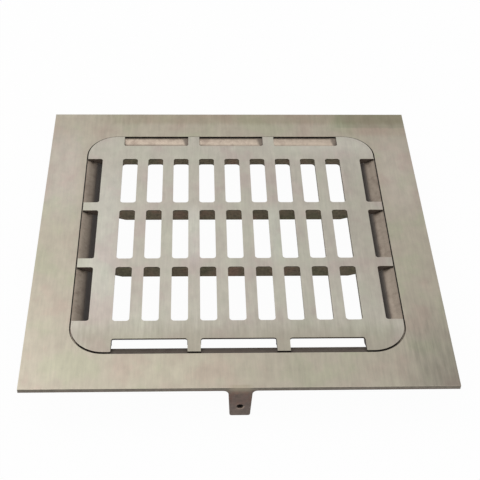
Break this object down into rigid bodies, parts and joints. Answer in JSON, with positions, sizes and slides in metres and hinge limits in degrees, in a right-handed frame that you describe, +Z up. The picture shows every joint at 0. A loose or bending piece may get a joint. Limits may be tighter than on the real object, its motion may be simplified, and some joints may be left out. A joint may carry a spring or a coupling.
{
  "type": "drain strainer",
  "caption": "Square floor drain strainer: a flanged cast frame with anchor lugs, and a loose slotted grate that rests flush on its seat.",
  "frame": {"origin": "middle of the square flange, at the level of the anchor lugs' lower ends", "axes": "+Z up out of the floor; +X along the flange's front edge to the right; +Y to the back, along the slots"},
  "size_m": [0.3048, 0.3048, 0.031],
  "materials": {
    "frame_metal": "satin ground top, as-cast sides, seat and lugs",
    "grate_metal": "satin ground top, as-cast slot walls and ribs"
  },
  "bodies": {
    "root": {"frame": "frame_metal", "grate": "grate_metal"}
  },
  "joints": []
}
